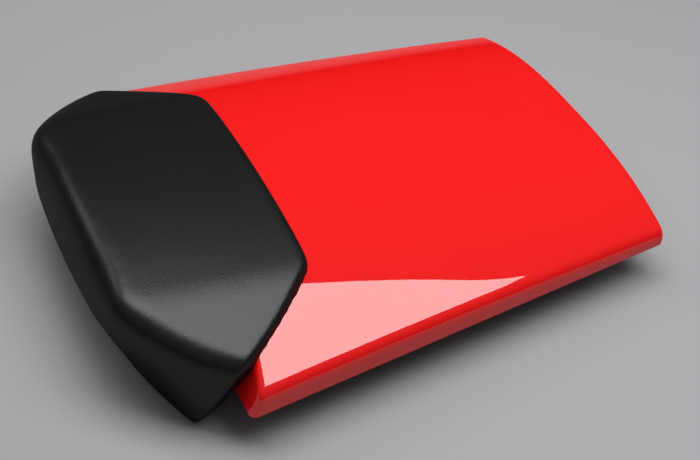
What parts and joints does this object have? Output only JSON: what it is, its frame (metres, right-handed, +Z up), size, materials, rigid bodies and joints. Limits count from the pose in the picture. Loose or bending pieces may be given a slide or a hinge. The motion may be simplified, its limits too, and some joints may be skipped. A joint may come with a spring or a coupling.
{
  "type": "motorcycle seat cowl",
  "caption": "Solo seat cowl for a motorcycle: a crowned gloss shell that covers the pillion place, with a faceted black bum pad on its front end and a lock loop and tongue underneath.",
  "frame": {"origin": "under the middle of the whole length and width, on the ground plane that the pad's chin and the rubber rests stand on", "axes": "+X rearwards, +Y to the rider's right, +Z up"},
  "size_m": [0.3626, 0.2912, 0.0829],
  "materials": {
    "gloss_red": "gloss red paint on moulded plastic",
    "pad_skin": "satin fine-grained skin on moulded foam",
    "zinc_steel": "bright zinc plate",
    "black_steel": "satin black coat",
    "rest_rubber": "matt moulded rubber"
  },
  "bodies": {
    "root": {"cowl_shell": "gloss_red", "bum_pad": "pad_skin", "pad_studs": "zinc_steel", "pad_washers": "zinc_steel", "pad_nuts": "zinc_steel", "striker_bracket": "black_steel", "striker_loop": "zinc_steel", "striker_screws": "zinc_steel", "rear_tongue": "black_steel", "tongue_screws": "zinc_steel", "rest_bumpers": "rest_rubber"}
  },
  "joints": []
}
